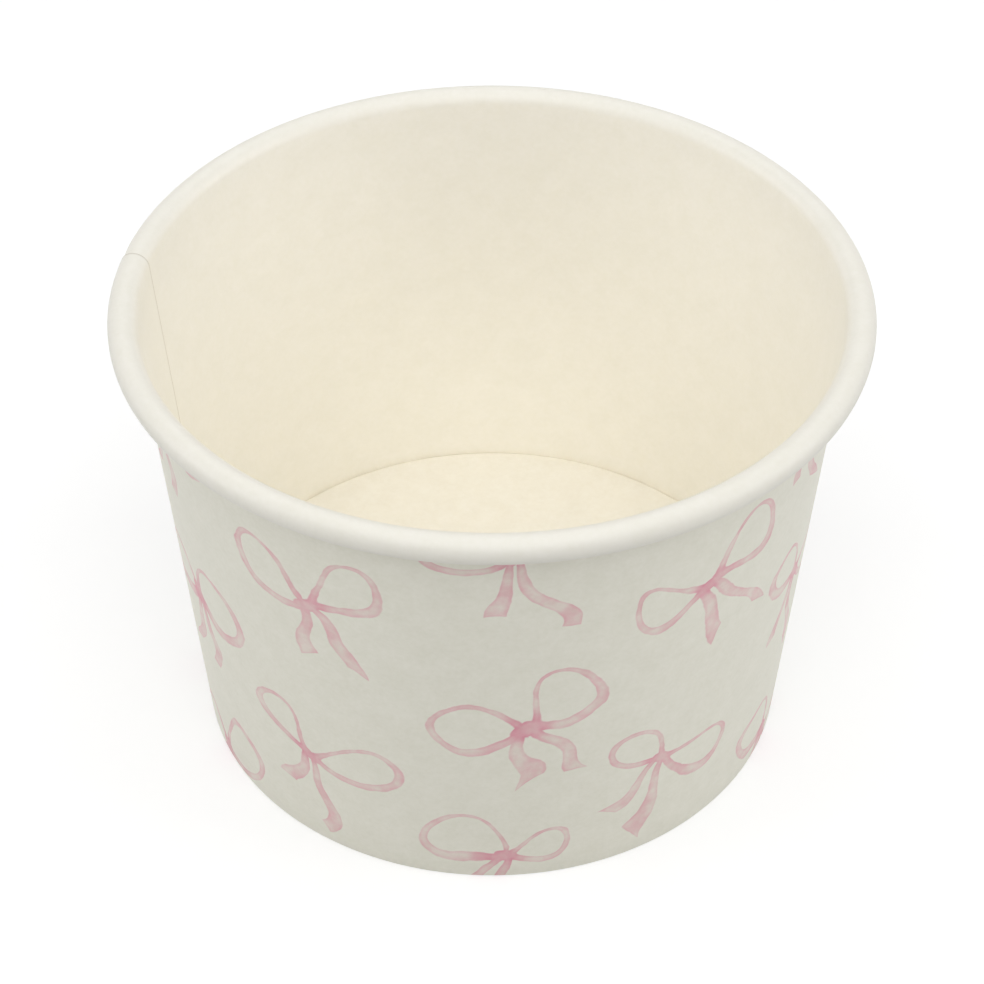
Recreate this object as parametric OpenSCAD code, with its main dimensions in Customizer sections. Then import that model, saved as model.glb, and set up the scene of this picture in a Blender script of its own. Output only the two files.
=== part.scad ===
// Paper dessert cup, rolled and folded from two pieces of coated board.
//
// side_wall is one fan-shaped blank wound into a cone. Its ends are lapped and
// sealed, its top edge is rolled outwards into the rim, and its bottom edge is
// folded in and up as a hem. base_disc is a round blank whose edge is turned
// down as a skirt, which the hem clamps against the wall.
//
// Millimetres, +Z up. The origin is the centre of the foot, on the table.

/* [Overall size] */
// Outside diameter of the rolled rim
rim_d = 90; // [86:0.5:100]
// Height from the table to the top of the rim
cup_h = 61; // [45:0.5:80]
// Outside diameter of the foot, on the table
foot_d = 73; // [66:0.5:76]

/* [Board] */
// Thickness of the coated board of the side wall
wall_t = 0.35; // [0.25:0.01:0.45]
// Thickness of the coated board of the base
base_t = 0.3; // [0.2:0.01:0.4]
// Thickness of the melted coating that bonds the skirt to the wall and the hem
seal_t = 0.03; // [0.02:0.01:0.06]

/* [Rolled rim] */
// Width of the rim's rolled section
curl_d = 3.5; // [3:0.1:4.2]
// Air between one turn of the roll and the next
curl_air = 0.15; // [0.1:0.01:0.25]
// How many half turns the edge is rolled through
curl_half_turns = 3; // [2:1:4]

/* [Side seam] */
// Width of the lap where one end of the blank lies over the other
lap_w = 9; // [6:0.5:12]
// Where the outer end of the blank stops, turned from +X towards +Y
seam_angle = 184; // [0:1:359]
// Width of the fine line that the inner end's edge leaves inside and on the rim
edge_line_w = 0.16; // [0.1:0.01:0.3]
// Depth of that line, as a share of the board's thickness
edge_line_share = 0.5; // [0.2:0.05:0.7]

/* [Foot] */
// Height of the underside of the base above the table
recess_h = 5.6; // [5:0.1:9]
// Height of the folded hem inside the foot
hem_h = 4.4; // [3:0.1:4.6]
// Outside radius of the bend between the base and its skirt
base_bend_r = 0.7; // [0.5:0.05:1]

/* [Hidden] */

// Facets that a round form is drawn with
round_fn = 180;
section_fn = 96;

board_color = [0.96, 0.95, 0.91];
base_color = [0.96, 0.94, 0.88];

// The roll: its outside radius, and the middle of its first half turn in the
// cup's section, as [radius, height]
curl_r = curl_d / 2;
curl_mid = [rim_d / 2 - curl_r, cup_h - curl_r];

// The wall's slant is the one line that leaves the foot's outer edge and
// passes the middle of the roll at the radius of the roll's inner face
foot_to_curl = [curl_mid.x - foot_d / 2, curl_mid.y];
slant = acos((curl_r - wall_t) / norm(foot_to_curl)) - atan2(foot_to_curl.y, foot_to_curl.x);

// Unit vectors in the section: up the wall, and square out of it
up_wall = [sin(slant), cos(slant)];
out_of_wall = [cos(slant), -sin(slant)];

// A thickness that is square to the wall, measured along a level line
function level(t) = t / cos(slant);

// Radius of a slanted face at height z, from its radius on the table
function face_r(table_r, z) = table_r + z * tan(slant);

// Radii on the table of each layer's faces, from the outside in
wall_out = foot_d / 2;
wall_in = wall_out - level(wall_t);
skirt_out = wall_in - level(seal_t);
skirt_in = skirt_out - level(base_t);
hem_out = skirt_in - level(seal_t);

// The two corners that the board folds round at the foot
wall_corner = [face_r(wall_in, wall_t), wall_t];
hem_corner = [face_r(hem_out, wall_t), wall_t];
wall_len = (curl_mid - wall_corner) * up_wall;
hem_len = (hem_h - wall_t) / cos(slant);

base_top = recess_h + base_t;
skirt_foot = wall_t;

// The lap: the angle that it spans, where the middle of its cone is set aside
// to, and how high it runs before it goes into the roll
lap_angle = lap_w / (wall_out * PI / 180);
lap_aim = seam_angle - lap_angle + 90;
lap_shift = wall_t / sin(lap_angle) * [cos(lap_aim), sin(lap_aim), 0];
lap_top = curl_mid.y - curl_r / 2;

// The half of a disc that lies below its middle
module half_disc(r) {
    intersection() {
        circle(r = r, $fn = section_fn);
        translate([-2 * r, -2 * r]) square([4 * r, 2 * r]);
    }
}

// One half turn of the roll, to depth t under its outer face. Each half turn
// is tighter than the last and starts where that one ended
module curl_half(k, t) {
    over = k % 2 == 0;
    step = (wall_t + curl_air) / 2;
    r = curl_r - k * step;
    translate([over ? 0 : step, 0])
        rotate(over ? 180 : 0)
            difference() {
                half_disc(r);
                circle(r = r - t, $fn = section_fn);
            }
}

// The straight of the wall and its rolled edge, to depth t under the face that
// turns from the inside of the cup to the outside of the roll
module wall_and_roll(t, half_turns) {
    translate(curl_mid)
        rotate(-slant) {
            translate([-curl_r, -wall_len]) square([t, wall_len]);
            for (k = [0 : half_turns - 1]) curl_half(k, t);
        }
}

// The fold under the foot and the hem that stands up inside it
module foot_and_hem() {
    translate(wall_corner) half_disc(wall_t);
    translate([hem_corner.x, 0]) square([wall_corner.x - hem_corner.x, wall_t]);
    translate(hem_corner)
        rotate(-slant) {
            half_disc(wall_t);
            translate([-wall_t, 0]) square([wall_t, hem_len]);
        }
}

// A solid cone with the wall's slant, by its radius on the table
module cone(table_r, bottom, top) {
    translate([0, 0, bottom])
        cylinder(
            h = top - bottom,
            r1 = face_r(table_r, bottom),
            r2 = face_r(table_r, top),
            $fn = round_fn
        );
}

// A wedge of space between two angles round the cup
module sector(from, to, top) {
    linear_extrude(top)
        polygon([[0, 0], for (a = [from, to]) rim_d * [cos(a), sin(a)]]);
}

// One end of the blank where it lies over the other. It leaves the round by
// degrees, because the middle of its cone is set aside, and it stops one board
// proud, in a raw edge. It is drawn from the middle of the board outwards
module lap_outside() {
    intersection() {
        difference() {
            translate(lap_shift) cone(wall_out, wall_t, lap_top);
            cone(wall_out - wall_t / 2, 0, cup_h);
        }
        sector(seam_angle - lap_angle, seam_angle, cup_h);
    }
}

// The same end on the far side of the fold, inside the foot
module lap_in_hem() {
    hem_in = hem_out - level(wall_t);
    intersection() {
        difference() {
            cone(hem_in + wall_t / 2, wall_t, hem_h);
            translate(-lap_shift) cone(hem_in, 0, cup_h);
        }
        sector(seam_angle - lap_angle, seam_angle, cup_h);
    }
}

// The line that the inner end's edge leaves down the inside and over the roll
module inner_edge_line() {
    intersection() {
        rotate_extrude($fn = round_fn)
            wall_and_roll(edge_line_share * wall_t, 2);
        rotate(seam_angle - lap_angle)
            translate([0, -edge_line_w / 2, base_top])
                cube([rim_d, edge_line_w, cup_h]);
    }
}

module side_wall() {
    color(board_color)
        difference() {
            union() {
                rotate_extrude($fn = round_fn) {
                    wall_and_roll(wall_t, curl_half_turns);
                    foot_and_hem();
                }
                lap_outside();
                lap_in_hem();
            }
            inner_edge_line();
        }
}

// Half section of a low plug with slanted sides and a rounded top edge
module plug(table_r, bottom, top, edge_r) {
    edge_mid = [face_r(table_r, top - edge_r) - level(edge_r), top - edge_r];
    polygon([
        [0, bottom],
        [face_r(table_r, bottom), bottom],
        edge_mid + edge_r * out_of_wall,
        edge_mid,
        [edge_mid.x, top],
        [0, top]
    ]);
    translate(edge_mid) circle(r = edge_r, $fn = section_fn);
}

module base_disc() {
    color(base_color)
        rotate_extrude($fn = round_fn)
            difference() {
                plug(skirt_out, skirt_foot, base_top, base_bend_r);
                plug(skirt_in, skirt_foot - 1, recess_h, base_bend_r - base_t);
            }
}

side_wall();
base_disc();
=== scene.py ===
# %% [markdown]
# # A paper dessert cup
#
# The real cup is two pieces of coated board: a fan-shaped side blank, wound into
# a cone and rolled outwards at the top, and a round base, clamped in the folded
# foot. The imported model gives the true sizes. This lesson makes both pieces again
# as fine meshes, as one sheet each that is then given its thickness, and dresses
# them as printed board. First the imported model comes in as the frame.

# %% Load the frame
from math import acos, atan2, ceil, cos, degrees, hypot, pi, radians, sin, tan

import bpy
from mathutils import Matrix, Vector


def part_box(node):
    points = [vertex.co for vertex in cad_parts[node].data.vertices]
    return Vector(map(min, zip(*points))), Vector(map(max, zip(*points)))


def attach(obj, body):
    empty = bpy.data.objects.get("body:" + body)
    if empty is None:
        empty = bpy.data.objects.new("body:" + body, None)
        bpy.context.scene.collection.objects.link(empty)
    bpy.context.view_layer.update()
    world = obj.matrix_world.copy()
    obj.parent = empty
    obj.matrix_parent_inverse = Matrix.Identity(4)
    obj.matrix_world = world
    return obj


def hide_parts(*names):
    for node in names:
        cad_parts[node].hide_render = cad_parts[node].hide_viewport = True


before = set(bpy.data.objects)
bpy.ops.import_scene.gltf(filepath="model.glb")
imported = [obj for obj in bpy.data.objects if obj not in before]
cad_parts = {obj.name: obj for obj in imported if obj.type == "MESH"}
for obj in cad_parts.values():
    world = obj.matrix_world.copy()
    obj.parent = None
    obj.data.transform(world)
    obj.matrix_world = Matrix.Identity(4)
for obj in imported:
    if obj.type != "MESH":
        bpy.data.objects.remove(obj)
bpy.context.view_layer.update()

# %% [markdown]
# ## Sizes
#
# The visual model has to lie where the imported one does, so its sizes are the same
# values, in millimetres. The overall ones are read back from the frame, which
# keeps the two models in step. The slant of the wall follows from them: it is
# the one line from the foot's edge that runs into the roll without a kink.

# %% Sizes of the cup, in millimetres
MM = 0.001

rim_r = max(abs(v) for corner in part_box("side_wall") for v in corner.xy) / MM
cup_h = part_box("side_wall")[1].z / MM
base_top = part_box("base_disc")[1].z / MM
foot_r = 36.5            # outside radius of the foot, on the table
wall_t = 0.35            # thickness of the side wall's board
base_t = 0.3             # thickness of the base's board
seal_t = 0.03            # melted coating between two layers
roll_r = 1.75            # outside radius of the rolled rim's section
roll_air = 0.15          # air between one turn of the roll and the next
half_turns = 3           # how far the edge is rolled
base_bend_r = 0.7        # outside radius of the bend between the base and its skirt
hem_h = 4.4              # how high the hem stands inside the foot
lap_w = 9.0              # width of the lapped seam
seam_deg = 184.0         # where the seam's outer end stops, turned from +X

roll_mid = (rim_r - roll_r, cup_h - roll_r)
reach = (roll_mid[0] - foot_r, roll_mid[1])
slant = acos((roll_r - wall_t) / hypot(*reach)) - atan2(reach[1], reach[0])
lap_deg = degrees(lap_w / foot_r)


def face_r(table_r, z):
    """Radius at height z of a slanted face that has the radius table_r on the table."""
    return table_r + z * tan(slant)


def level(t):
    """A thickness that is square to the wall, measured along a level line."""
    return t / cos(slant)


print(f"rim {2 * rim_r:.2f} mm, height {cup_h:.2f} mm")
print(f"slant {degrees(slant):.2f} degrees, lap {lap_deg:.1f} degrees")

# %% [markdown]
# ## Drawing a sheet of board
#
# Both pieces are sheets, so each is drawn as the line of its section and then
# turned round the cup's axis. The line starts as a small plane that is merged
# into one point. The point is extruded along the straights and spun round the
# middle of each bend, which is how a bend is drawn by hand. Everything is
# deselected first, because an operator acts on all that is selected.

# %% Helpers for the section line
def start_line(name, r, z, deg):
    """Starts a section line at radius r and height z, in the half plane at an angle round the axis."""
    bpy.ops.object.select_all(action="DESELECT")
    here = Matrix.Rotation(radians(deg), 3, "Z") @ Vector((r, 0, z)) * MM
    bpy.ops.mesh.primitive_plane_add(size=MM, location=here, calc_uvs=False)
    sheet = bpy.context.object
    sheet.name = sheet.data.name = name
    bpy.ops.object.transform_apply(location=True)
    bpy.ops.object.mode_set(mode="EDIT")
    bpy.ops.mesh.select_mode(type="VERT")
    bpy.ops.mesh.select_all(action="SELECT")
    bpy.ops.mesh.merge(type="CENTER")
    return sheet


def draw_on(dr, dz, deg, cuts=1):
    """Extrudes the line's end by dr and dz, in a number of equal steps."""
    step = Matrix.Rotation(radians(deg), 3, "Z") @ Vector((dr, 0, dz)) * MM / cuts
    for _ in range(cuts):
        bpy.ops.mesh.extrude_region_move(TRANSFORM_OT_translate={"value": step})


def bend_on(r, z, turn_deg, deg, steps):
    """Spins the line's end round a middle at r and z. A positive turn goes outwards over the top."""
    turn = Matrix.Rotation(radians(deg), 3, "Z")
    bpy.ops.mesh.spin(
        steps=steps,
        angle=radians(turn_deg),
        center=turn @ Vector((r, 0, z)) * MM,
        axis=turn @ Vector((0, -1, 0)),
    )


# %% [markdown]
# ## The side blank
#
# The line runs along the middle of the board: down the hem inside the foot, under
# and round the two folds, up the wall, and one and a half turns into the rolled
# rim. Each half turn is tighter than the one before, which makes it a spiral.
# Spinning the line by more than a full turn leaves the two ends of the blank
# lying over each other, as they do in the real lapped seam.

# %% The side wall's section line
fold_r = 0.21            # bend of the two folds under the foot, at the middle of the board
hem_rows, wall_rows = 3, 24
fold_steps, roll_steps = 5, 18

half_t = wall_t / 2
fold_z = half_t + fold_r
wall_mid = foot_r - level(half_t)
hem_mid = foot_r - level(wall_t + seal_t + base_t + seal_t + half_t)
wall_fold = face_r(wall_mid, fold_z) - level(fold_r)
hem_fold = face_r(hem_mid, fold_z) + level(fold_r)
line = dict(deg=seam_deg - lap_deg)

side_wall = start_line("paper_side_wall", face_r(hem_mid, hem_h), hem_h, **line)
fold_drop = fold_z + fold_r * sin(slant) - hem_h
draw_on(fold_drop * tan(slant), fold_drop, cuts=hem_rows, **line)
bend_on(hem_fold, fold_z, -(90 + degrees(slant)), steps=fold_steps, **line)
draw_on(wall_fold - hem_fold, 0, **line)
bend_on(wall_fold, fold_z, -(90 - degrees(slant)), steps=fold_steps, **line)
wall_foot = (wall_fold + fold_r * cos(slant), fold_z - fold_r * sin(slant))
roll_in = roll_r - half_t
wall_head = (roll_mid[0] - roll_in * cos(slant), roll_mid[1] + roll_in * sin(slant))
draw_on(wall_head[0] - wall_foot[0], wall_head[1] - wall_foot[1], cuts=wall_rows, **line)
roll_step = (wall_t + roll_air) / 2
for k in range(half_turns):
    aside = roll_step if k % 2 else 0
    bend_on(roll_mid[0] + aside * cos(slant), roll_mid[1] - aside * sin(slant), 180, steps=roll_steps, **line)
bpy.ops.object.mode_set(mode="OBJECT")
print("section line:", len(side_wall.data.vertices), "points")

# %% [markdown]
# ## Heights on the flat board
#
# The board was flat before it was rolled, and the print was put on it then. So
# the length along the section is needed, counted up from where the board stands
# on the table. The line's points are first put in order, from edge to edge,
# because an operator may number new points as it likes.

# %% Measure the section along the board
def along(mesh):
    """Gives the numbers of a line's points in order, from its first point along its edges."""
    beside = {v.index: [] for v in mesh.vertices}
    for a, b in (edge.vertices for edge in mesh.edges):
        beside[a].append(b)
        beside[b].append(a)
    path = [0]
    while ahead := [i for i in beside[path[-1]] if i not in path[-2:]]:
        path.append(ahead[0])
    return path


order = along(side_wall.data)
section = [side_wall.data.vertices[i].co / MM for i in order]
rows = len(section)
height_on_board = [0.0]
for a, b in zip(section, section[1:]):
    height_on_board.append(height_on_board[-1] + (b - a).length)
foot_row = min(range(rows), key=lambda j: section[j].z)
height_on_board = [h - height_on_board[foot_row] for h in height_on_board]
roll_row = rows - 1 - half_turns * roll_steps
low_mm, high_mm = height_on_board[0], height_on_board[-1]
print(f"section: {rows} points, {high_mm - low_mm:.1f} mm of board, roll from row {roll_row}")

# %% [markdown]
# ## Winding the blank
#
# A real blank is bent round a cone until its two ends lie over each other by a
# few millimetres, and is then sealed. Here the whole line is spun round the
# cup's axis by one full turn and the lap. The first column of points is the
# inner end, and the last one is the outer end, whose raw edge shows outside.
# Each point keeps its place on the flat board, in millimetres, as a UV map, so
# that the print later follows the board and breaks at the seam as a real one does.

# %% Wind the blank round the cup's axis
columns = 251
wound_deg = 360 + lap_deg
print_r = 39.0           # radius at which a millimetre round the board is true
bpy.ops.object.mode_set(mode="EDIT")
bpy.ops.mesh.select_all(action="SELECT")
bpy.ops.mesh.spin(steps=columns - 1, angle=radians(wound_deg), center=(0, 0, 0), axis=(0, 0, -1))
bpy.ops.object.mode_set(mode="OBJECT")

board = side_wall.data
row_of = {point: j for j, point in enumerate(order)}


def column(v):
    """Number of a point's column, from the inner end of the blank."""
    return v.index // rows


def row(v):
    """Number of a point's row, from the hem's edge up and into the roll."""
    return row_of[v.index % rows]


def turned(v):
    """Angle that a point was wound through, in radians."""
    return radians(wound_deg) * column(v) / (columns - 1)


on_board = [(turned(v) * print_r, height_on_board[row(v)]) for v in board.vertices]
board_mm = board.uv_layers.new(name="board_mm")
for loop in board.loops:
    board_mm.data[loop.index].uv = on_board[loop.vertex_index]
seam_mm = max(on_board)[0]
astray = max(
    (v.co / MM - Matrix.Rotation(turned(v), 3, "Z") @ section[row(v)]).length
    for v in board.vertices
)
print(f"wound board: {len(board.vertices)} points, {seam_mm:.1f} mm round, astray by {astray:.4f} mm")

# %% [markdown]
# ## The lap
#
# Where the two ends lie over each other the outer one has to step out by the
# thickness of the board, and a sheet of board can't do that in a sharp kink. So
# the outer end is fattened out along its normals by one board. Each point that
# lies just short of the lap then goes back by its share, which lets the step fade
# into the wall. In the roll and the hem the same move goes inwards, because the
# printed face turns over there. The rolling tool presses the lap flat, so the
# step shrinks towards the rim.

# %% Lay one end over the other
lap_fade = 4.0           # how far the step takes to fade into the wall, in mm
pressed_from = 40.0      # height on the board where the rolling tool starts to press, in mm
pressed_to = 56.0        # height where it presses in full
roll_share = 0.4         # what is left of the step from there on

lap_first = (columns - 1) * 360 / wound_deg


def short_of_lap(v):
    """How far short of the lap a point lies, in mm round the cup."""
    steps = ceil(lap_first) - column(v)
    return steps * radians(wound_deg) / (columns - 1) * v.co.xy.length / MM


def pick_points(mesh, wanted):
    """Selects the points that a rule picks, and nothing else."""
    for part in (mesh.polygons, mesh.edges, mesh.vertices):
        for item in part:
            item.select = False
    for v in mesh.vertices:
        v.select = wanted(v)
    print("picked", sum(v.select for v in mesh.vertices), "points")


bpy.ops.object.mode_set(mode="EDIT")
bpy.ops.mesh.select_all(action="SELECT")
bpy.ops.mesh.flip_normals()
bpy.ops.object.mode_set(mode="OBJECT")
flat_lap = [v.co.copy() for v in board.vertices]
pick_points(board, lambda v: short_of_lap(v) < lap_fade)
bpy.ops.object.mode_set(mode="EDIT")
bpy.ops.transform.shrink_fatten(value=wall_t * MM, use_even_offset=False)
bpy.ops.object.mode_set(mode="OBJECT")
for v, before in zip(board.vertices, flat_lap):
    risen = 1 - min(max(short_of_lap(v) / lap_fade, 0), 1)
    pressed = (height_on_board[row(v)] - pressed_from) / (pressed_to - pressed_from)
    share = risen**2 * (3 - 2 * risen) * (1 - (1 - roll_share) * min(max(pressed, 0), 1))
    v.co = before.lerp(v.co, share)
    if before.z < fold_z * MM:
        v.co.z = max(v.co.z, before.z)
print("the lap starts after column", int(lap_first), "of", columns)

# %% [markdown]
# ## Room for the outer end
#
# In the fold and in the roll there is little room for two boards, and a real
# machine squeezes them there. Here the inner end's fold under the foot is lifted
# by the thickness of the board. Proportional editing lets that fade along the
# sheet. The last stretch of its roll, which nobody can see, is cut away.

# %% Make room for the outer end
kept_half_turns = 1.7    # how many half turns of the roll the inner end keeps

inner_last = columns - lap_first
pick_points(board, lambda v: column(v) <= inner_last and v.co.z < 2 * fold_z * MM)
bpy.ops.object.mode_set(mode="EDIT")
bpy.ops.transform.translate(
    value=(0, 0, wall_t * MM),
    use_proportional_edit=True,
    use_proportional_connected=True,
    proportional_edit_falloff="SMOOTH",
    proportional_size=lap_fade * MM,
)
bpy.ops.object.mode_set(mode="OBJECT")
last_kept = roll_row + kept_half_turns * roll_steps
pick_points(board, lambda v: column(v) <= inner_last and row(v) > last_kept)
bpy.ops.object.mode_set(mode="EDIT")
bpy.ops.mesh.delete(type="VERT")
bpy.ops.object.mode_set(mode="OBJECT")
print("sheet:", len(board.vertices), "points,", len(board.polygons), "faces")

# %% [markdown]
# ## Giving the board its thickness
#
# Solidify turns the sheet into board with an even thickness on both sides of the
# middle line that was drawn. It can also tell the faces apart: the printed face
# keeps the first material, the coated face inside the cup gets the second, and
# the raw cut edges get the third.

# %% Give a sheet of board its thickness
def thicken(sheet, thickness, names, smooth_deg=40):
    """Solidifies a sheet round its middle, with a material for each face and one for its cut edges."""
    for name in names:
        sheet.data.materials.append(bpy.data.materials.new(name))
    bpy.ops.object.select_all(action="DESELECT")
    bpy.context.view_layer.objects.active = sheet
    sheet.select_set(True)
    solid = sheet.modifiers.new("board", "SOLIDIFY")
    solid.thickness = thickness * MM
    solid.offset = 0
    solid.use_even_offset = True
    solid.material_offset = 1
    solid.material_offset_rim = 2
    bpy.ops.object.modifier_apply(modifier=solid.name)
    bpy.ops.object.shade_smooth_by_angle(angle=radians(smooth_deg))
    sides = [sum(p.material_index == k for p in sheet.data.polygons) for k in range(len(names))]
    lowest = min(v.co.z for v in sheet.data.vertices) / MM
    print(sheet.name, "faces by material:", sides, "lowest", round(lowest, 4))


sheet_points = len(board.vertices)
thicken(side_wall, wall_t, (
    "film_coated_printed_board", "film_coated_ivory_board", "cut_edge_of_side_board"))

# %% [markdown]
# ## The base
#
# The base is punched from plainer board and drawn into a shallow cup whose skirt
# stands inside the foot. Its section is one straight, one bend and one long
# straight to the axis. After the spin its first and last columns and all the
# points on the axis lie on each other, so doubles are merged before the normals
# are recalculated and the board gets its thickness.

# %% The base's sheet
skirt_rows, base_rows = 3, 12
bend_steps, base_columns = 8, 240
merge_mm = 0.005         # points closer than this are one

half_b = base_t / 2
skirt_mid = foot_r - level(wall_t + seal_t + half_b)
skirt_out = foot_r - level(wall_t + seal_t)
bend_z = base_top - base_bend_r
bend_mid = (face_r(skirt_out, bend_z) - level(base_bend_r), bend_z)
bend_r = base_bend_r - half_b
skirt_z = wall_t + seal_t
skirt_foot = (face_r(skirt_mid, skirt_z), skirt_z)
skirt_head = (bend_mid[0] + bend_r * cos(slant), bend_mid[1] - bend_r * sin(slant))

line = dict(deg=0)
base_disc = start_line("paper_base_disc", *skirt_foot, **line)
draw_on(skirt_head[0] - skirt_foot[0], skirt_head[1] - skirt_foot[1], cuts=skirt_rows, **line)
bend_on(*bend_mid, -(90 + degrees(slant)), steps=bend_steps, **line)
draw_on(-bend_mid[0], 0, cuts=base_rows, **line)
bpy.ops.mesh.select_all(action="SELECT")
bpy.ops.mesh.spin(steps=base_columns, angle=radians(360), center=(0, 0, 0), axis=(0, 0, 1))
bpy.ops.mesh.select_all(action="SELECT")
bpy.ops.mesh.remove_doubles(threshold=merge_mm * MM)
bpy.ops.mesh.normals_make_consistent(inside=False)
bpy.ops.object.mode_set(mode="OBJECT")
innermost = min(base_disc.data.polygons, key=lambda p: p.center.xy.length)
if innermost.normal.z < 0:
    base_disc.data.flip_normals()
thicken(base_disc, base_t, (
    "film_coated_base_board", "plain_base_board", "cut_edge_of_base_board"))
top_mm = max(v.co.z for v in base_disc.data.vertices) / MM
print("top of the base", round(top_mm, 3), "of", round(base_top, 3), "mm")

# %% [markdown]
# ## Room for the baked picture
#
# When the model is exported, each material is baked to a picture, and the print
# is the only finish here with fine lines. So the side blank gets a second UV map
# that gives the printed wall nearly all of the square, as two long strips, and
# leaves a narrow band each for the coated face, the hem, the roll and the edges.

# %% Lay the board out for baking
wall_low = -0.6                                 # where the printed wall starts, in mm on the board
wall_high = height_on_board[roll_row] + 1.0     # and where it ends, just inside the roll
pad = 0.004                                     # margin at both ends of a band, as a share


def band(u_range, v_range, low, high):
    """Gives a rule that lays a range of board places into a band of the square, between two heights."""
    def place(u, v):
        across = (u - u_range[0]) / (u_range[1] - u_range[0])
        up = (v - v_range[0]) / (v_range[1] - v_range[0])
        return pad + across * (1 - 2 * pad), low + up * (high - low)
    return place


whole = (0, seam_mm)
half = seam_mm * 0.5
print_bands = [
    band((0, half), (wall_low, wall_high), 0.004, 0.450),
    band((half, seam_mm), (wall_low, wall_high), 0.458, 0.904),
]
coated_band = band(whole, (low_mm, high_mm), 0.910, 0.962)
hem_band = band(whole, (low_mm, wall_low), 0.967, 0.976)
roll_band = band(whole, (wall_high, high_mm), 0.980, 0.989)
edge_band = band((0, 2 * seam_mm), (0, 1), 0.993, 0.997)
print("printed wall: two strips of", round(half, 1), "by", round(wall_high - wall_low, 1), "mm")

# %% [markdown]
# ## Filling the bands
#
# Each face goes into a band by its material and by the place of its middle on
# the board. A cut edge has no width on the board, so its faces are laid one after
# the other, and their two sides are the two borders of a narrow band.

# %% Fill the bands
def edge_run(place, upright, past_half):
    """Gives a cut edge's place along its band: level edges first, then one upright end after the other."""
    if not upright:
        return place.x
    return seam_mm + place.y + (one_end if past_half else 0)


one_end = 90             # room for one upright end in the edges' band, in mm
upright_from = 0.05      # a cut edge's face that is taller than this runs up the board, in mm
bake_map = board.uv_layers.new(name="OFBake")
board_mm = board.uv_layers["board_mm"]
for face in board.polygons:
    places = [board_mm.data[k].uv.copy() for k in face.loop_indices]
    u = sum(p.x for p in places) / len(places)
    v = sum(p.y for p in places) / len(places)
    if face.material_index == 2:
        upright = max(p.y for p in places) - min(p.y for p in places) > upright_from
        for k, p in zip(face.loop_indices, places):
            on_first_side = float(board.loops[k].vertex_index < sheet_points)
            bake_map.data[k].uv = edge_band(edge_run(p, upright, u > half), on_first_side)
        continue
    if face.material_index == 1:
        rule = coated_band
    elif wall_low < v < wall_high:
        rule = print_bands[u > half]
    else:
        rule = hem_band if v < 0 else roll_band
    for k, p in zip(face.loop_indices, places):
        bake_map.data[k].uv = rule(*p)
board_mm.active = board_mm.active_render = True
reach_uv = [pick(c) for c in zip(*(d.uv for d in bake_map.data)) for pick in (min, max)]
print("bake map reaches", [round(c, 4) for c in reach_uv])

# %% [markdown]
# ## Colours and nodes
#
# Colours are written as hex values, as a paint program shows them, and turned to
# the linear values that the renderer works with. One helper adds a node with its
# settings and links, so that each finish reads as a short list of steps.

# %% Helpers for the finishes
def linear(hex_colour):
    """Turns an sRGB hex colour into linear values with full cover."""
    parts = [int(hex_colour[k:k + 2], 16) / 255 for k in (1, 3, 5)]
    return (*(c / 12.92 if c <= 0.04045 else ((c + 0.055) / 1.055) ** 2.4 for c in parts), 1.0)


def add(tree, kind, inputs=(), out=0, **settings):
    """Adds a node, sets it, fills or links its inputs, and gives one of its outputs."""
    node = tree.nodes.new(kind)
    for name, value in settings.items():
        setattr(node, name, value)
    for socket, value in inputs.items() if isinstance(inputs, dict) else enumerate(inputs):
        if isinstance(value, bpy.types.NodeSocket):
            tree.links.new(value, node.inputs[socket])
        else:
            node.inputs[socket].default_value = value
    return node.outputs[out] if len(node.outputs) else node


def fresh(material):
    """Empties the node tree of a material or of the world, and gives the tree."""
    material.use_nodes = True
    material.node_tree.nodes.clear()
    return material.node_tree


print("ivory in linear values:", [round(c, 3) for c in linear("#F7F4EA")])

# %% [markdown]
# ## The ribbon bows of the print
#
# The cup's printed face carries small hand-painted bows in watery pink. A bow is
# a common ornament, and these are drawn from plain curves in a layout of their
# own. Each bow is measured in millimetres as the distance to its outline: two
# loops, two tails and a knot. All of it lives in one node group that is given a
# place in a cell and the cell's number. White noise on that number gives each
# bow its own three draws, which move it, lean it and change its proportions.

# %% Sizes of a bow, and where it lies in its cell
knot_at = (1.7, 4.6)     # the knot's place from the cell's middle, at most, in mm
wander = (3.4, 3.0)      # how far chance takes it back from there, in mm
lean_range = 1.0         # the most that two bows' leans differ, in radians

bow = bpy.data.node_groups.new("ribbon bow", "ShaderNodeTree")
bow.interface.new_socket("Place", in_out="INPUT", socket_type="NodeSocketVector")
bow.interface.new_socket("Cell", in_out="INPUT", socket_type="NodeSocketVector")
bow.interface.new_socket("Outline", in_out="OUTPUT", socket_type="NodeSocketFloat")
bow.interface.new_socket("Knot", in_out="OUTPUT", socket_type="NodeSocketFloat")
group_in = bow.nodes.new("NodeGroupInput")
place_in, cell_in = group_in.outputs["Place"], group_in.outputs["Cell"]

chance = add(bow, "ShaderNodeTexWhiteNoise", {0: cell_in}, out="Color", noise_dimensions="3D")
draw = add(bow, "ShaderNodeSeparateXYZ", [chance]).node.outputs
lean = add(bow, "ShaderNodeMath", [draw[0], lean_range, -lean_range / 2], operation="MULTIPLY_ADD")
moved = add(bow, "ShaderNodeVectorMath", [chance, (*wander, 0), place_in], operation="MULTIPLY_ADD")
moved = add(bow, "ShaderNodeVectorMath", [moved, (*knot_at, 0)], operation="SUBTRACT")
turned_place = add(bow, "ShaderNodeVectorRotate", {"Vector": moved, "Angle": lean}, rotation_type="Z_AXIS")
xyz = add(bow, "ShaderNodeSeparateXYZ", [turned_place]).node.outputs
x, y = xyz[0], xyz[1]
side = add(bow, "ShaderNodeMath", [x], operation="SIGN")
across = add(bow, "ShaderNodeMath", [x], operation="ABSOLUTE")
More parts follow.
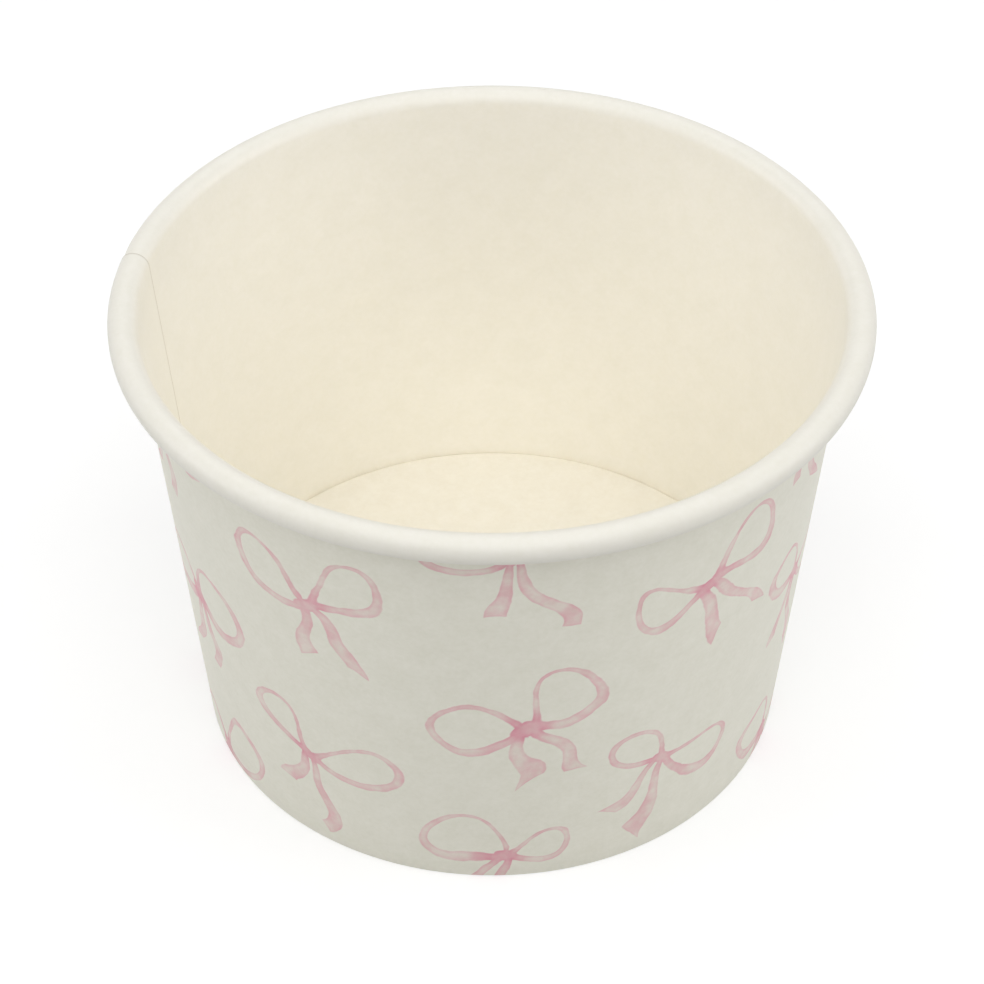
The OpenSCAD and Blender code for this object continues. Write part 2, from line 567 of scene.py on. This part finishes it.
print("bow group, place and lean:", len(bow.nodes), "nodes")

# %% [markdown]
# ## The loops of a bow
#
# A loop is a teardrop with its point at the knot. The curve has a plain equation,
# and its value over its gradient is close to the distance from the line, which a
# ribbon of an even width needs. One loop serves both sides through the mirror at
# x = 0. The two then get a little of the side's sign, so that they differ in
# length and lift as painted ones do.

# %% The loops
loop_half = 4.7          # half the length of a loop, in mm
loop_fat = 1.95          # how fat the teardrop is
fattest = 0.08           # what comes off 1 / loop_fat for the fattest teardrop
fat_range = 0.12         # what chance adds to that again, which makes it thinner
loop_more = 0.9          # how much longer chance makes the loops, in mm
loop_uneven = 0.35       # how much longer the right one is, and shorter the left one, in mm
loop_lift = 0.50         # how far the loops point up at most, in radians
lift_range = 0.34        # how much of that chance takes back
lift_uneven = 0.07       # how much more the left one points up, and less the right one
ribbon_half = 0.46       # half the width of the ribbon in a loop, in mm
ribbon_thins = 0.055     # what that loses for each mm up the loop
point_back = 0.3         # how far the ribbon runs on past a loop's point, in mm

lift = add(bow, "ShaderNodeMath", [draw[1], lift_range, -loop_lift], operation="MULTIPLY_ADD")
lift = add(bow, "ShaderNodeMath", [side, lift_uneven, lift], operation="MULTIPLY_ADD")
flat = add(bow, "ShaderNodeCombineXYZ", [across, y, 0.0])
loop_xyz = add(bow, "ShaderNodeVectorRotate", {"Vector": flat, "Angle": lift}, rotation_type="Z_AXIS")
loop_out = add(bow, "ShaderNodeSeparateXYZ", [loop_xyz]).node.outputs
longer = add(bow, "ShaderNodeMath", [draw[2], loop_more], operation="MULTIPLY")
longer = add(bow, "ShaderNodeMath", [side, loop_uneven, longer], operation="MULTIPLY_ADD")
lx = add(bow, "ShaderNodeMath", [loop_out[0], longer], operation="SUBTRACT")
behind = add(bow, "ShaderNodeMath", [lx, -1.0, -point_back], operation="MULTIPLY_ADD")
lx = add(bow, "ShaderNodeMath", [lx, 0.0], operation="MAXIMUM")
ly = loop_out[1]
fat = add(bow, "ShaderNodeMath", [draw[0], fat_range, 1 / loop_fat - fattest], operation="MULTIPLY_ADD")
fat_y = add(bow, "ShaderNodeMath", [ly, fat], operation="MULTIPLY")
y_part = add(bow, "ShaderNodeMath", [ly, fat_y], operation="MULTIPLY")
square = add(bow, "ShaderNodeMath", [lx, lx], operation="MULTIPLY")
x_part = add(bow, "ShaderNodeMath", [lx, 1 / loop_half**2, -2 / loop_half], operation="MULTIPLY_ADD")
curve = add(bow, "ShaderNodeMath", [square, x_part, y_part], operation="MULTIPLY_ADD")
slope_x = add(bow, "ShaderNodeMath", [lx, 3 / loop_half**2, -4 / loop_half], operation="MULTIPLY_ADD")
slope_x = add(bow, "ShaderNodeMath", [slope_x, lx], operation="MULTIPLY")
slope_y = add(bow, "ShaderNodeMath", [fat_y, 2.0], operation="MULTIPLY")
slope = add(bow, "ShaderNodeCombineXYZ", [slope_x, slope_y, 0.0])
slope = add(bow, "ShaderNodeVectorMath", {0: slope}, out="Value", operation="LENGTH")
off_curve = add(bow, "ShaderNodeMath", [curve, slope], operation="DIVIDE")
off_curve = add(bow, "ShaderNodeMath", [off_curve], operation="ABSOLUTE")
width = add(bow, "ShaderNodeMath", [ly, -ribbon_thins, ribbon_half], operation="MULTIPLY_ADD")
loops = add(bow, "ShaderNodeMath", [off_curve, width], operation="SUBTRACT")
loops = add(bow, "ShaderNodeMath", [loops, behind], operation="MAXIMUM")
print("bow group, with the loops:", len(bow.nodes), "nodes")

# %% [markdown]
# ## The tails of a bow
#
# The tails hang from the knot, part as they go down, sway once and widen to an
# end that is cut at a slant. They are mirrored as the loops are, but the sway
# starts elsewhere on each side, and one tail may be longer than the other.

# %% The tails
tail_long = 11.0         # how far a tail hangs below the knot, in mm
tail_uneven = 1.8        # how much longer one tail may be and shorter the other, in mm
tail_apart = 0.45        # how far from the middle a tail starts, in mm
tail_spread = 0.225      # how far it moves out for each mm down
tail_half = 0.42         # half its width at the knot, in mm
tail_widens = 0.066      # what that gains for each mm down
sway_turn = 0.5          # how far the sway goes on for each mm down, in radians
sway_wide = 0.115        # how wide it is for each mm down
sway_start = 0.6         # where in its swing it starts, in radians
sway_range = 5.0         # how much later than that chance lets it start
end_slant = 0.45         # slant of the cut end
tuck = 0.2               # how far a tail reaches up behind the knot, in mm

down = add(bow, "ShaderNodeMath", [y, -1.0], operation="MULTIPLY")
phase = add(bow, "ShaderNodeMath", [draw[1], sway_range, sway_start], operation="MULTIPLY_ADD")
phase = add(bow, "ShaderNodeMath", [side, phase], operation="MULTIPLY")
sway = add(bow, "ShaderNodeMath", [down, sway_turn, phase], operation="MULTIPLY_ADD")
sway = add(bow, "ShaderNodeMath", [sway], operation="SINE")
sway_by = add(bow, "ShaderNodeMath", [down, sway_wide], operation="MULTIPLY")
sway = add(bow, "ShaderNodeMath", [sway, sway_by], operation="MULTIPLY")
middle = add(bow, "ShaderNodeMath", [down, tail_spread, tail_apart], operation="MULTIPLY_ADD")
middle = add(bow, "ShaderNodeMath", [middle, sway], operation="ADD")
aside = add(bow, "ShaderNodeMath", [across, middle], operation="SUBTRACT")
off_tail = add(bow, "ShaderNodeMath", [aside], operation="ABSOLUTE")
width = add(bow, "ShaderNodeMath", [down, tail_widens, tail_half], operation="MULTIPLY_ADD")
tails = add(bow, "ShaderNodeMath", [off_tail, width], operation="SUBTRACT")
tail_end = add(bow, "ShaderNodeMath", [side, draw[2]], operation="MULTIPLY")
tail_end = add(bow, "ShaderNodeMath", [tail_end, tail_uneven, tail_long], operation="MULTIPLY_ADD")
tail_end = add(bow, "ShaderNodeMath", [aside, end_slant, tail_end], operation="MULTIPLY_ADD")
tail_end = add(bow, "ShaderNodeMath", [down, tail_end], operation="SUBTRACT")
tails = add(bow, "ShaderNodeMath", [tails, tail_end], operation="MAXIMUM")
above = add(bow, "ShaderNodeMath", [y, tuck], operation="SUBTRACT")
tails = add(bow, "ShaderNodeMath", [tails, above], operation="MAXIMUM")
print("bow group, with the tails:", len(bow.nodes), "nodes")

# %% [markdown]
# ## The knot, and the whole bow
#
# The knot is a small oval, and the strokes run together in it. The nearest of
# the loops, the tails and the knot is the bow's outline. The knot is given out on
# its own too, because the ink gathers round it.

# %% The knot and the outline
knot_half = (1.45, 1.0)  # half the size of the knot, in mm

to_circle = (1 / knot_half[0], 1 / knot_half[1], 0)
knot = add(bow, "ShaderNodeVectorMath", [turned_place, to_circle], operation="MULTIPLY")
knot = add(bow, "ShaderNodeVectorMath", {0: knot}, out="Value", operation="LENGTH")
knot = add(bow, "ShaderNodeMath", [knot, 1.0], operation="SUBTRACT")
outline = add(bow, "ShaderNodeMath", [loops, tails], operation="MINIMUM")
outline = add(bow, "ShaderNodeMath", [outline, knot], operation="MINIMUM")
group_out = bow.nodes.new("NodeGroupOutput")
bow.links.new(outline, group_out.inputs["Outline"])
bow.links.new(knot, group_out.inputs["Knot"])
print("bow group, whole:", len(bow.nodes), "nodes")

# %% [markdown]
# ## The surface of board
#
# Cup board is pressed fibre under a smooth clay coat. Close up the eye gets two
# things from it: slow clouds, where the fibre lies thicker, and fine flecks. Both
# are noise on the object's own coordinates, turned to millimetres, and they move
# the colour a little as well as the relief. Every face of the cup starts from
# this, and gets a shader whose roughness follows the same clouds. Where the
# board was cut, a fine darker line marks the seam. It is partly the bare fibre that
# the knife leaves and partly painted shade for the small step where one end lies over the other.

# %% Helpers for the faces of board
cloud_scale = 0.33       # clouds of fibre of about 3 mm, per mm
fleck_scale = 1.6        # flecks of about 0.6 mm, per mm
cloud_high = 0.03        # how high the clouds stand, in mm
fleck_high = 0.008       # how high the flecks stand, in mm
fleck_share = 1.3        # how much the flecks count in the colour, next to the clouds
darkest, brightest = 0.80, 1.50  # sums of the two where the board's two shades lie
board_ior = 1.5          # of the clear film and of paper alike
fibre_and_shade_line = 0.3         # how far along a cut end the line of bare fibre and painted shade runs, in mm
fibre_and_shade_share = 0.6         # how dark the very edge is made, as bare fibre with painted shade


def to_mm(tree):
    """Gives the object's own coordinates in millimetres."""
    place = add(tree, "ShaderNodeTexCoord", out="Object")
    return add(tree, "ShaderNodeVectorMath", {0: place, "Scale": 1 / MM}, operation="SCALE")


def board_face(tree, place, shade, bright, raised=None):
    """Gives the colour of board between two close shades, its relief, and its clouds."""
    clouds = add(tree, "ShaderNodeTexNoise", {"Vector": place, "Scale": cloud_scale, "Detail": 2.0})
    flecks = add(tree, "ShaderNodeTexNoise", {
        "Vector": place, "Scale": fleck_scale, "Detail": 4.0, "Roughness": 0.6})
    height = add(tree, "ShaderNodeMath", [flecks, fleck_high / cloud_high, clouds], operation="MULTIPLY_ADD")
    if raised is not None:
        height = add(tree, "ShaderNodeMath", [height, raised], operation="ADD")
    relief = add(tree, "ShaderNodeBump", {"Height": height, "Distance": cloud_high * MM, "Strength": 1.0})
    mottle = add(tree, "ShaderNodeMath", [flecks, fleck_share, clouds], operation="MULTIPLY_ADD")
    mottle = add(tree, "ShaderNodeMapRange", [mottle, darkest, brightest, 0.0, 1.0])
    colour = add(tree, "ShaderNodeMix", {0: mottle, 6: linear(shade), 7: linear(bright)},
                 out=2, data_type="RGBA")
    return colour, relief, clouds


def fibre_and_shade_at_cut(tree, run, colour, inner, end):
    """Fades a colour to a darker line of bare fibre and painted shade, from a place round the board to the
    cut end, both in mm.
    """
    # The line is partly bare fibre from the knife and partly painted shade of the lap's step.
    cut = add(tree, "ShaderNodeMapRange", [run, inner, end, 0.0, fibre_and_shade_share])
    return add(tree, "ShaderNodeMix", {0: cut, 6: colour, 7: linear("#B9AF9A")},
               out=2, data_type="RGBA")


def finish_board(tree, colour, relief, clouds, roughness_low, roughness_high):
    """Ends a face of board in its shader. Its clouds, mostly from 0.3 to 0.7, move the roughness."""
    roughness = add(tree, "ShaderNodeMapRange", [clouds, 0.3, 0.7, roughness_low, roughness_high])
    shader = add(tree, "ShaderNodeBsdfPrincipled", {
        "Base Color": colour, "Roughness": roughness, "Normal": relief, "IOR": board_ior})
    add(tree, "ShaderNodeOutputMaterial", {"Surface": shader})


print("relief of the board:", cloud_high, "and", fleck_high, "mm")

# %% [markdown]
# ## The bows on the board
#
# The print follows the flat board, so it is laid out on the UV map in
# millimetres. Before the place is used, a slow noise pushes it about by a few
# millimetres, which bends the strokes as an unsteady hand does. The bows lie in
# two sets of cells, one set half a step across and half a step up from the other,
# so that a bow may lean without meeting its cell's edge.

# %% Lay the bows out on the printed face
cell_w, cell_h = 46.0, 27.0      # one bow in each cell, in mm
cell_shifts = ((-0.01, 0.485), (0.49, 0.985))    # of the two sets, in cells
hand_scale = 0.085               # the hand swings about once in 12 mm, per mm
hand_reach = 5.0                 # how far it swings from end to end, in mm

printed_board = board.materials[0]
tree = fresh(printed_board)
flat_place = add(tree, "ShaderNodeUVMap", uv_map="board_mm")
hand = add(tree, "ShaderNodeTexNoise", {"Vector": flat_place, "Scale": hand_scale, "Detail": 0.0},
           out="Color", noise_dimensions="2D")
hand = add(tree, "ShaderNodeVectorMath", [
    hand, (hand_reach, hand_reach, 0), (-hand_reach / 2, -hand_reach / 2, 0)], operation="MULTIPLY_ADD")
drawn = add(tree, "ShaderNodeVectorMath", [flat_place, hand], operation="ADD")
found = []
for shift in cell_shifts:
    grid = add(tree, "ShaderNodeVectorMath", [drawn, (1 / cell_w, 1 / cell_h, 0), (*shift, 0)],
               operation="MULTIPLY_ADD")
    cell = add(tree, "ShaderNodeVectorMath", [grid], operation="FLOOR")
    cell = add(tree, "ShaderNodeVectorMath", [cell, (0, 0, shift[0])], operation="ADD")
    inside = add(tree, "ShaderNodeVectorMath", [grid], operation="FRACTION")
    inside = add(tree, "ShaderNodeVectorMath", [
        inside, (cell_w, cell_h, 0), (-cell_w / 2, -cell_h / 2, 0)], operation="MULTIPLY_ADD")
    found.append(add(tree, "ShaderNodeGroup", {"Place": inside, "Cell": cell}, node_tree=bow).node.outputs)
outline = add(tree, "ShaderNodeMath", [found[0]["Outline"], found[1]["Outline"]], operation="MINIMUM")
knot = add(tree, "ShaderNodeMath", [found[0]["Knot"], found[1]["Knot"]], operation="MINIMUM")
print("printed board, bows:", len(tree.nodes), "nodes")

# %% [markdown]
# ## The ink
#
# The pink is watery, so it multiplies the board's colour instead of covering it.
# The grain of the paper frays the edge of each stroke a little. Inside a stroke
# the ink pools along the edges, gathers at the knot, and dries in blotches. The
# three are added up as the load of ink, and the stroke's soft edge cuts it off.

# %% Ink the bows
fray = 0.30              # how far the grain moves a stroke's edge, from end to end, in mm
fray_scale = 0.6         # the edge wanders about once in 1.7 mm, per mm
blotch_scale = 0.36      # blotches of about 3 mm, per mm
edge_soft = 0.07         # half the width over which the edge fades, in mm
pool_deep = 0.42         # how far inside the outline the pooled ink is thinnest, in mm
pool_edge = 0.05         # and where it is thickest
pool_load = 0.26         # how much ink pools there
knot_far = 1.6           # how far out of the knot the ink starts to gather, in half sizes of the knot
knot_near = 0.2          # and how far inside its outline all of it has gathered
knot_load = 0.45         # how much gathers at the knot
thin_load = 0.26         # the load between blotches
thick_load = 0.78        # and in them

ragged = add(tree, "ShaderNodeTexNoise", {"Vector": flat_place, "Scale": fray_scale, "Detail": 1.6},
             noise_dimensions="2D")
outline = add(tree, "ShaderNodeMath", [ragged, fray, outline], operation="MULTIPLY_ADD")
outline = add(tree, "ShaderNodeMath", [outline, fray / 2], operation="SUBTRACT")
inked = add(tree, "ShaderNodeMapRange", [outline, edge_soft, -edge_soft, 0.0, 1.0],
            interpolation_type="SMOOTHSTEP")
pooled = add(tree, "ShaderNodeMapRange", [outline, -pool_deep, -pool_edge, 0.0, pool_load])
at_knot = add(tree, "ShaderNodeMapRange", [knot, knot_far, -knot_near, 0.0, knot_load],
              interpolation_type="SMOOTHSTEP")
blotch = add(tree, "ShaderNodeTexNoise", {"Vector": flat_place, "Scale": blotch_scale, "Detail": 3.0},
             noise_dimensions="2D")
blotch = add(tree, "ShaderNodeMapRange", [blotch, 0.32, 0.68, thin_load, thick_load])
load = add(tree, "ShaderNodeMath", [pooled, at_knot], operation="ADD")
load = add(tree, "ShaderNodeMath", [load, blotch], operation="ADD")
ink = add(tree, "ShaderNodeMath", [load, inked], operation="MULTIPLY")
print("printed board, with its ink:", len(tree.nodes), "nodes")

# %% [markdown]
# ## The printed face
#
# The outside of the cup has a thin matt film over the print. It keeps the board
# from sparkling, so the roughness sits near the middle. Inside the foot the jaws
# that seal the hem leave fine upright ribs, which are too small to model and are
# raised in the relief. Last comes the darker line along the outer end: bare fibre,
# with painted shade of the lap's step.

# %% Printed board
rib_pitch = 1.2          # from one rib of the sealing jaws to the next, in mm
rib_high = 0.05          # how high the ribs stand, in mm
rib_from, rib_to = -0.9, -1.5    # heights on the board between which the ribs rise, in mm

run, up = add(tree, "ShaderNodeSeparateXYZ", [flat_place]).node.outputs[:2]
rib_turn = add(tree, "ShaderNodeMath", [run, 2 * pi / rib_pitch], operation="MULTIPLY")
ribs = add(tree, "ShaderNodeMath", [rib_turn], operation="SINE")
on_hem = add(tree, "ShaderNodeMapRange", [up, rib_from, rib_to, 0.0, rib_high / cloud_high])
ribs = add(tree, "ShaderNodeMath", [ribs, on_hem], operation="MULTIPLY")
paper, relief, clouds = board_face(tree, to_mm(tree), "#EDEBDC", "#F4F2E5", raised=ribs)
tinted = add(tree, "ShaderNodeMix", {0: 1.0, 6: paper, 7: linear("#F6C5D6")},
             out=2, data_type="RGBA", blend_type="MULTIPLY")
colour = add(tree, "ShaderNodeMix", {0: ink, 6: paper, 7: tinted},
             out=2, data_type="RGBA", clamp_factor=False)
# A darker line along the outer end: bare fibre, with painted shade of the lap's step.
colour = fibre_and_shade_at_cut(tree, run, colour, seam_mm - fibre_and_shade_line, seam_mm)
finish_board(tree, colour, relief, clouds, roughness_low=0.43, roughness_high=0.53)
print("printed board, whole:", len(tree.nodes), "nodes")

# %% [markdown]
# ## The coated face and the raw edges
#
# The inside of the cup and the rolled rim are the other face of the board, which
# has a thin film of plastic melted on to it to hold food. It is creamier than
# the print side and a little glossier. Round the rolled rim its colour is made a
# little darker: painted shade that tones the rim down. The inner end of the blank
# shows a darker line down the wall and over the rim, partly bare fibre from the
# knife and partly painted shade of the lap's step. The cut edges show bare fibre,
# rougher and a touch darker than the faces.

# %% Coated board, base board and cut edges
rim_shade_fade = 1.5       # how far the painted shade on the rim takes to fade in where the roll starts, in mm
fuzz_scale = 5.0         # fuzz of about 0.2 mm on a cut edge, per mm


def coated(material, shade, bright, roughness, rolled_from=None):
    """Makes a film-coated face of board. Past a height on the board in mm, where the roll starts, its colour
    is made a little darker as painted shade on the rim.
    """
    tree = fresh(material)
    colour, relief, clouds = board_face(tree, to_mm(tree), shade, bright)
    if rolled_from is not None:
        flat_place = add(tree, "ShaderNodeUVMap", uv_map="board_mm")
        run, up = add(tree, "ShaderNodeSeparateXYZ", [flat_place]).node.outputs[:2]
        # Painted shade on the rim: a mask that rises where the roll starts, by which the colour is multiplied
        # a little darker.
        rim_shade = add(tree, "ShaderNodeMapRange", [up, rolled_from, rolled_from + rim_shade_fade, 0.0, 1.0])
        # The inner end gets the same darker line of bare fibre and painted shade.
        colour = fibre_and_shade_at_cut(tree, run, colour, fibre_and_shade_line, 0.0)
        colour = add(tree, "ShaderNodeMix", {0: rim_shade, 6: colour, 7: linear("#F3F3F1")},
                     out=2, data_type="RGBA", blend_type="MULTIPLY")
    finish_board(tree, colour, relief, clouds, roughness - 0.04, roughness + 0.05)
    print(material.name, len(tree.nodes), "nodes")


def raw_edge(material):
    """Makes a cut edge of board: bare, rough fibre with some fuzz."""
    tree = fresh(material)
    fuzz = add(tree, "ShaderNodeTexNoise", {"Vector": to_mm(tree), "Scale": fuzz_scale, "Detail": 3.0})
    colour = add(tree, "ShaderNodeMix", {0: fuzz, 6: linear("#DDD5C2"), 7: linear("#F0EADB")},
                 out=2, data_type="RGBA")
    relief = add(tree, "ShaderNodeBump", {"Height": fuzz, "Distance": cloud_high * MM, "Strength": 1.0})
    shader = add(tree, "ShaderNodeBsdfPrincipled", {
        "Base Color": colour, "Roughness": 0.9, "Normal": relief, "IOR": board_ior})
    add(tree, "ShaderNodeOutputMaterial", {"Surface": shader})
    print(material.name, len(tree.nodes), "nodes")


base_board = base_disc.data.materials
coated(board.materials[1], "#F7F4EA", "#FBF8F0", 0.40, rolled_from=height_on_board[roll_row])
raw_edge(board.materials[2])
coated(base_board[0], "#EFEADD", "#F4F0E5", 0.42)
coated(base_board[1], "#ECE8DC", "#F2EEE4", 0.60)
raw_edge(base_board[2])

# %% [markdown]
# ## What each piece stands for
#
# Nothing on a paper cup moves, so both pieces ride on the one body. Each of them
# takes the place of the imported solid that it was drawn over, which then stays, hidden.

# %% Put each piece on the body in place of its solid
for piece, node, slot in (
    (side_wall, "side_wall", "printed_board"),
    (base_disc, "base_disc", "base_board"),
):
    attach(piece, "root")
    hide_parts(node)
print("pieces:", side_wall.name, base_disc.name)

# %% [markdown]
# ## The floor
#
# The cup stands on a plain white table top that runs out of sight. Its colour is
# under white, and it adds the missing light only for what the camera sees
# directly, so the ground reads as white and the cup's shadow stays. Far from the
# cup it fades to plain white, so that no horizon shows. Right under the cup and
# from below it is clear, so that the underside can be lit and looked at.

# %% White table top
table_size = 6.0                 # in metres
table_lift = 0.46                # light added to the ground for the camera
fade_from, fade_to = 0.16, 0.50  # distances from the cup between which it fades to white, in metres
clear_r = foot_r - half_t        # radius of the clear disc under the cup, in mm

bpy.ops.object.select_all(action="DESELECT")
bpy.ops.mesh.primitive_plane_add(size=table_size, location=(0, 0, 0))
floor = bpy.context.object
floor.name = "table_top"
table = bpy.data.materials.new("matt_white_table_top")
floor.data.materials.append(table)


def seen_directly(tree):
    """Gives 1 where the camera looks, straight or through a mirror or glass, and 0 for other light."""
    path = add(tree, "ShaderNodeLightPath").node.outputs
    direct = add(tree, "ShaderNodeMath", [path["Is Camera Ray"], path["Is Glossy Ray"]], operation="MAXIMUM")
    return add(tree, "ShaderNodeMath", [direct, path["Is Transmission Ray"]], operation="MAXIMUM")


tree = fresh(table)
direct = seen_directly(tree)
from_cup = add(tree, "ShaderNodeTexCoord", out="Object")
from_cup = add(tree, "ShaderNodeVectorMath", {0: from_cup}, out="Value", operation="LENGTH")
matt = add(tree, "ShaderNodeBsdfDiffuse", {"Color": linear("#CECECE")})
glow = add(tree, "ShaderNodeMath", [direct, table_lift], operation="MULTIPLY")
glow = add(tree, "ShaderNodeEmission", {"Color": (1, 1, 1, 1), "Strength": glow})
near = add(tree, "ShaderNodeAddShader", [matt, glow])
far = add(tree, "ShaderNodeEmission", {"Color": (1, 1, 1, 1), "Strength": 1.0})
fade = add(tree, "ShaderNodeMapRange", [from_cup, fade_from, fade_to, 0.0, 1.0],
           interpolation_type="SMOOTHSTEP")
fade = add(tree, "ShaderNodeMath", [fade, direct], operation="MULTIPLY")
top = add(tree, "ShaderNodeMixShader", [fade, near, far])
under_cup = add(tree, "ShaderNodeMath", [from_cup, clear_r * MM], operation="LESS_THAN")
below = add(tree, "ShaderNodeNewGeometry", out="Backfacing")
clear = add(tree, "ShaderNodeMath", [under_cup, below], operation="MAXIMUM")
nothing = add(tree, "ShaderNodeBsdfTransparent")
both = add(tree, "ShaderNodeMixShader", [clear, top, nothing])
add(tree, "ShaderNodeOutputMaterial", {"Surface": both})
print("table top:", len(tree.nodes), "nodes, clear within", round(clear_r, 2), "mm")

# %% [markdown]
# ## Light
#
# The cup is lit as for a catalogue. One large soft light stands high in front, a
# weaker one high behind, and one on each side. So the rim is the brightest line,
# and the front of the wall, which faces a little downwards, is a shade deeper
# than its flanks. A small light below the table lights the underside through the
# clear disc, for views from below. A white cup is lit inside mostly by its own
# walls, so light may bounce from wall to wall many more times than the few that
# are usual.

# %% Soft lights, room and bounces
room_light = 0.25        # strength of the room's even light, where plain white is 1
bounces = 16             # from one matt surface to the next
other_bounces = 8        # what gloss and clear surfaces may add to them


def soft_light(name, place, size, watts, aim=(0, 0, 0.03)):
    """Adds a square area light at a place in metres, turned to the cup."""
    bpy.ops.object.light_add(type="AREA", location=place)
    lamp = bpy.context.object
    lamp.name = name
    lamp.data.size = size
    lamp.data.energy = watts
    lamp.rotation_euler = (Vector(aim) - Vector(place)).to_track_quat("-Z", "Y").to_euler()
    print(name, place, "m,", watts, "W")
    return lamp


soft_light("front_softbox", (0, -0.70, 1.10), 1.2, 7.9)
soft_light("back_softbox", (0, 0.40, 1.18), 1.2, 4.6)
soft_light("left_softbox", (-1.1, -0.1, 0.55), 0.8, 3.6)
soft_light("right_softbox", (1.1, -0.1, 0.55), 0.8, 3.9)
under_light = soft_light("under_softbox", (0, 0, -0.5), 0.5, 1.1)
under_light.visible_camera = False

room = bpy.data.worlds.new("pale_room")
bpy.context.scene.world = room
tree = fresh(room)
grey = add(tree, "ShaderNodeMapRange", [seen_directly(tree), 0.0, 1.0, room_light, 1.0])
air = add(tree, "ShaderNodeBackground", {"Color": (1, 1, 1, 1), "Strength": grey})
add(tree, "ShaderNodeOutputWorld", {"Surface": air})
bpy.context.scene.cycles.max_bounces = bounces + other_bounces
bpy.context.scene.cycles.diffuse_bounces = bounces

# %% [markdown]
# ## Camera
#
# The camera looks down on the cup from the front, from about 37 cm away, as one
# leans over a table. It is turned to the middle of the cup, and its lens is long
# enough for the cup to fill the frame.

# %% Camera
eye = Vector((0, -0.2828, 0.2741))
aim = Vector((0, 0, 0.0300))
lens_mm = 110.4

bpy.ops.object.camera_add(location=eye, rotation=(aim - eye).to_track_quat("-Z", "Y").to_euler())
camera = bpy.context.object
camera.name = "catalogue_camera"
camera.data.lens = lens_mm
camera.data.sensor_width = 36.0
camera.data.clip_start = 0.01
bpy.context.scene.camera = camera
bpy.context.scene.view_settings.view_transform = "Standard"
print("camera to cup:", round((aim - eye).length, 3), "m, lens", lens_mm, "mm")
